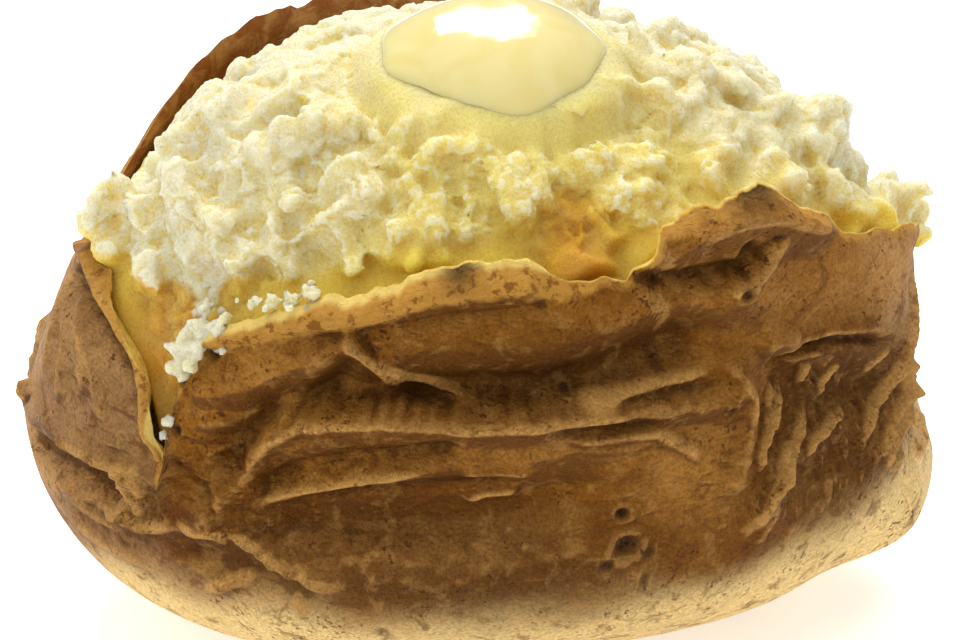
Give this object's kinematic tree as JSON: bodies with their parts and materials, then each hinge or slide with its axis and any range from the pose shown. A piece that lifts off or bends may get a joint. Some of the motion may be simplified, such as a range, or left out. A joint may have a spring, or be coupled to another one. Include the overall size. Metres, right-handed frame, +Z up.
{
  "type": "baked potato",
  "caption": "Whole baked potato slit open on top and squeezed so its fluffy flesh swells out of the wrinkled skin, with a pat of butter melting on it.",
  "frame": {"origin": "middle of the potato's box, on the surface it rests on", "axes": "+Z up, +X along the potato towards the rounded end, -Y towards the side with the tallest flap of skin"},
  "size_m": [0.121, 0.0868, 0.0884],
  "materials": {
    "jacket": "dry wrinkled brown baked skin, matte",
    "flesh": "moist, crumbly, pale yellow-white flesh",
    "butter": "soft and wet, half melted"
  },
  "bodies": {
    "root": {"jacket": "jacket", "flesh": "flesh", "butter": "butter"}
  },
  "joints": []
}
